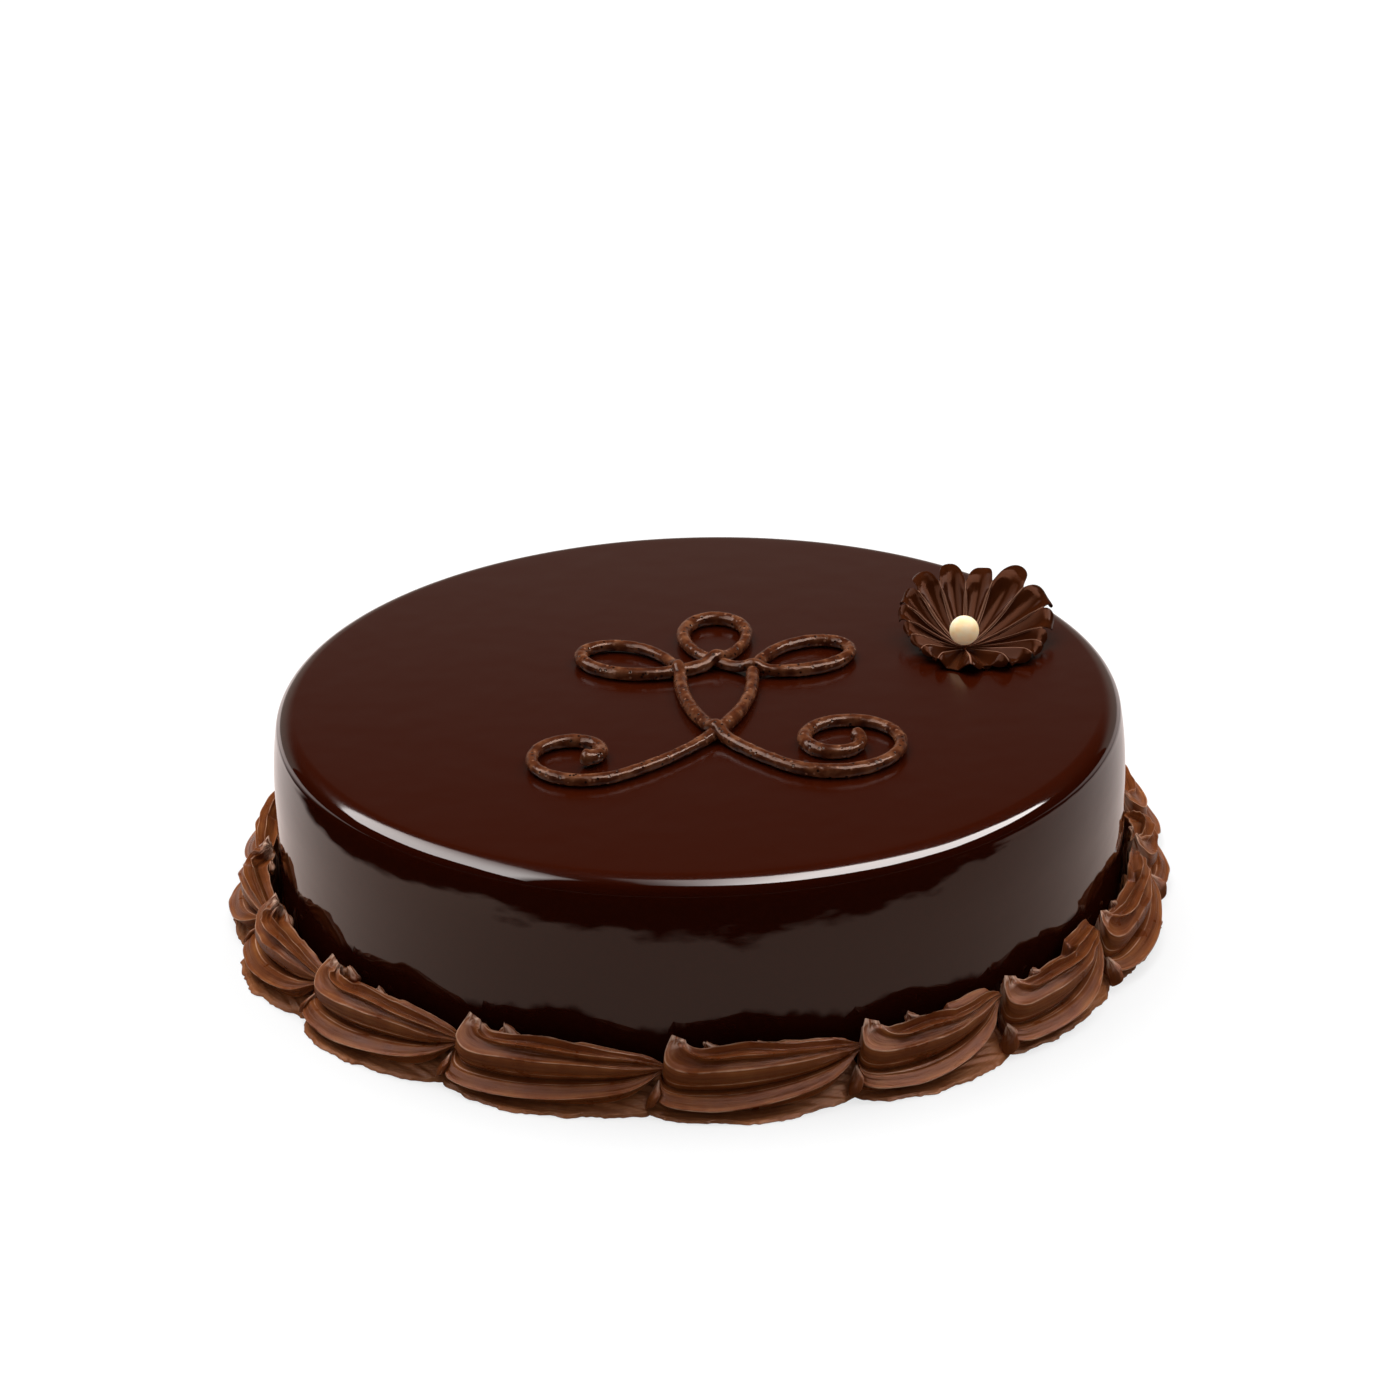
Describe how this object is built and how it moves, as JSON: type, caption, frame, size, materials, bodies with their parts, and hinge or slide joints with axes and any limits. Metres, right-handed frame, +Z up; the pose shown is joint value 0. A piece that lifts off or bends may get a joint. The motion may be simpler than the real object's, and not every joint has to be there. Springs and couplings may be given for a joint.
{
  "type": "chocolate mousse cake",
  "caption": "Low round mousse cake under a dark mirror glaze, with a piped shell border at its foot, a piped scroll, a ruffled chocolate fan and a sugar pearl on top.",
  "frame": {"origin": "centre of the cake's flat underside, on the surface it stands on", "axes": "+Z up, through the cake's centre; -Y towards the viewer of the picture, with the chocolate fan behind right at +X, +Y"},
  "size_m": [0.227, 0.2289, 0.0674],
  "materials": {
    "mirror_glaze": "poured mirror glaze over dark chocolate mousse, high gloss",
    "whipped_ganache": "piped and smeared whipped chocolate ganache, soft satin",
    "piped_cocoa_gel": "piped cocoa icing, glossy, with small air bubbles",
    "dark_milk_chocolate": "thin set chocolate, satin",
    "sugar_pearl": "ivory sugar shell, smooth"
  },
  "bodies": {
    "root": {"cake": "mirror_glaze", "shell_01": "whipped_ganache", "shell_02": "whipped_ganache", "shell_03": "whipped_ganache", "shell_04": "whipped_ganache", "shell_05": "whipped_ganache", "shell_06": "whipped_ganache", "shell_07": "whipped_ganache", "shell_08": "whipped_ganache", "shell_09": "whipped_ganache", "shell_10": "whipped_ganache", "shell_11": "whipped_ganache", "shell_12": "whipped_ganache", "shell_13": "whipped_ganache", "shell_14": "whipped_ganache", "shell_15": "whipped_ganache", "shell_16": "whipped_ganache", "cream_foot": "whipped_ganache", "scroll": "piped_cocoa_gel", "flower": "dark_milk_chocolate", "pearl": "sugar_pearl"}
  },
  "joints": []
}
